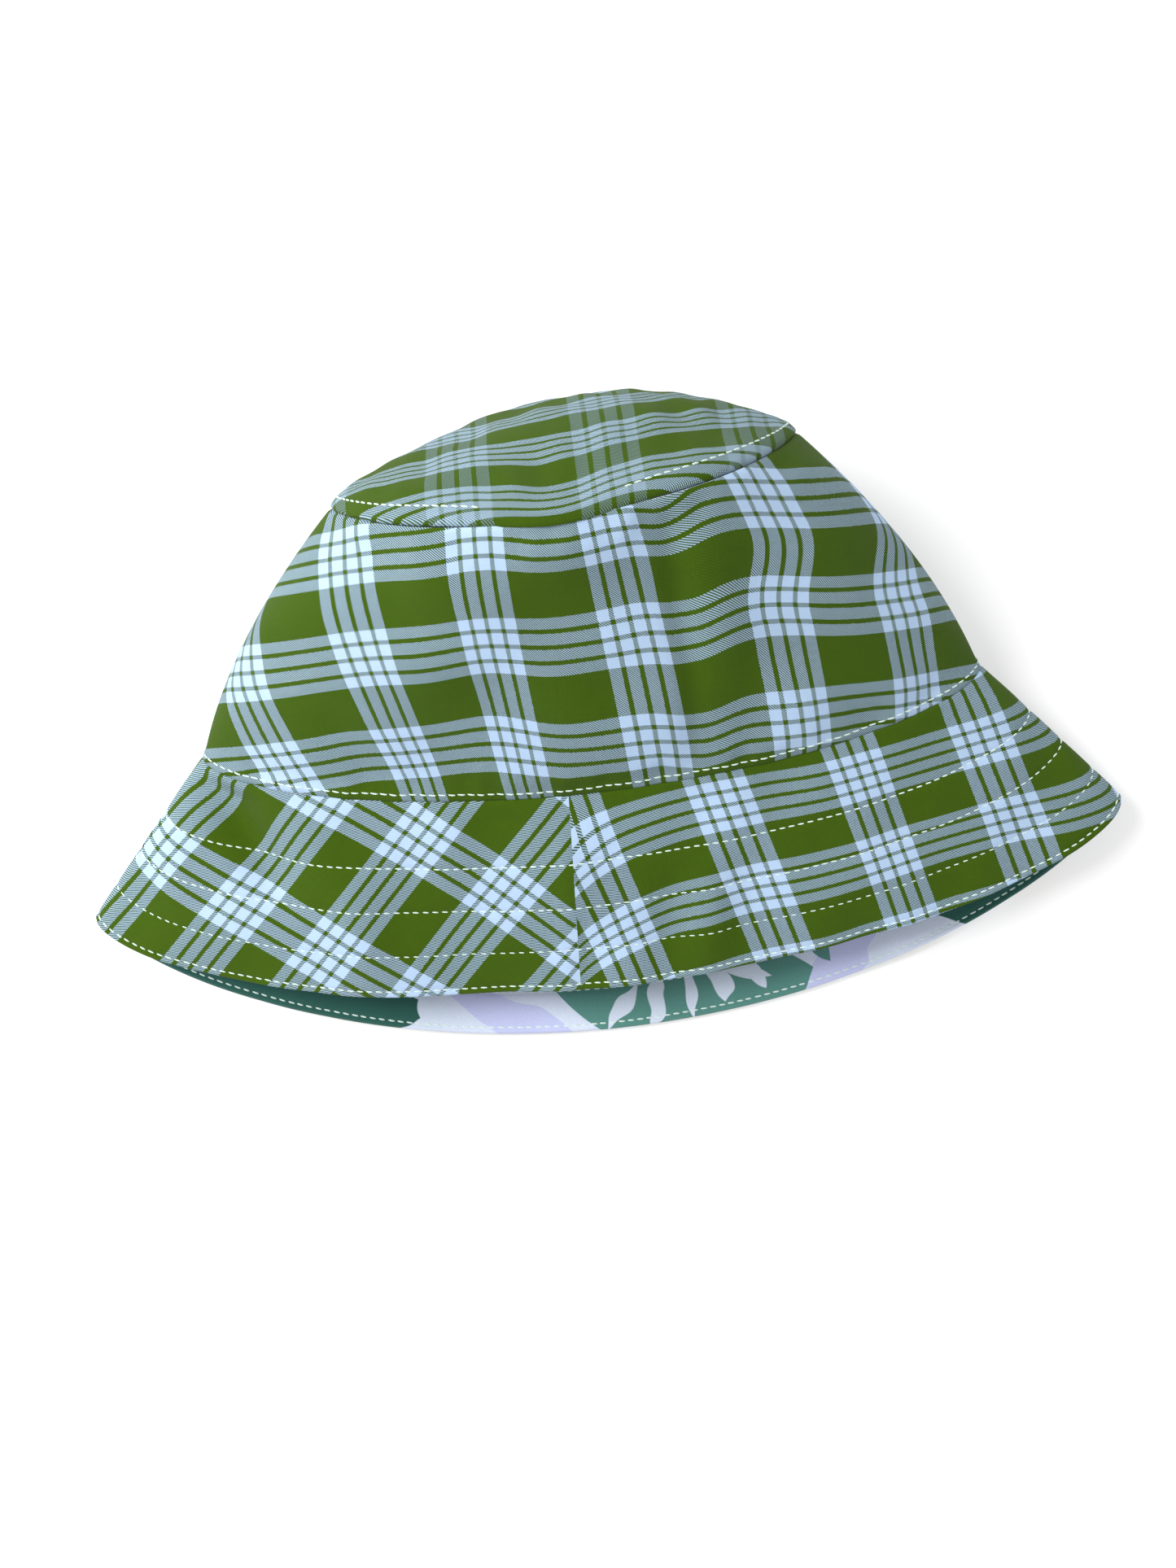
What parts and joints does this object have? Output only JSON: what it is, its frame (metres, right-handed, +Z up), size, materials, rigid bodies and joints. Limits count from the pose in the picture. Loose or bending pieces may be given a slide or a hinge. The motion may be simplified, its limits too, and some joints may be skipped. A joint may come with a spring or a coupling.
{
  "type": "bucket hat",
  "caption": "Reversible soft cloth bucket hat lying half flattened on its back, with a rounded tip, a slanted crown and a stitched brim whose front turns up.",
  "frame": {"origin": "middle of the hat's outline in plan, on the plane that it lies on", "axes": "+X across the head towards the side fold at the right, +Y from the brim towards the tip of the crown, +Z up from the surface that the hat lies on; the front of the hat is on top"},
  "size_m": [0.344, 0.207, 0.0965],
  "materials": {
    "outer_cloth": "matt woven cotton plaid, moss green over pale blue-white",
    "lining_cloth": "matt woven cotton with a large leaf print in teal, lilac and white",
    "interfacing": "matt stiff non-woven",
    "thread": "pale twisted sewing thread"
  },
  "bodies": {
    "hat": {"brim_interfacing_left": "interfacing", "brim_interfacing_right": "interfacing", "crown_seam_topstitch": "thread", "lining_brim_left": "lining_cloth", "lining_brim_right": "lining_cloth", "lining_brim_stitch_row_1": "thread", "lining_brim_stitch_row_2": "thread", "lining_brim_stitch_row_3": "thread", "lining_brim_stitch_row_4": "thread", "lining_side_back": "lining_cloth", "lining_side_front": "lining_cloth", "lining_tip": "lining_cloth", "outer_brim_left": "outer_cloth", "outer_brim_right": "outer_cloth", "outer_brim_stitch_row_1": "thread", "outer_brim_stitch_row_2": "thread", "outer_brim_stitch_row_3": "thread", "outer_brim_stitch_row_4": "thread", "outer_side_back": "outer_cloth", "outer_side_front": "outer_cloth", "outer_tip": "outer_cloth", "tip_seam_topstitch": "thread"},
    "brim_front": {"brim_interfacing_front_left": "interfacing", "brim_interfacing_front_right": "interfacing", "lining_brim_front_left": "lining_cloth", "lining_brim_front_right": "lining_cloth", "lining_brim_front_stitch_row_1": "thread", "lining_brim_front_stitch_row_2": "thread", "lining_brim_front_stitch_row_3": "thread", "lining_brim_front_stitch_row_4": "thread", "outer_brim_front_left": "outer_cloth", "outer_brim_front_right": "outer_cloth", "outer_brim_front_stitch_row_1": "thread", "outer_brim_front_stitch_row_2": "thread", "outer_brim_front_stitch_row_3": "thread", "outer_brim_front_stitch_row_4": "thread"}
  },
  "joints": [
    {"name": "brim_turn_up", "type": "hinge", "parent": "hat", "child": "brim_front", "pos_m": [0, -0.0242, 0.0426], "axis": [-1, 0, 0], "range_deg": [0, 100]}
  ]
}
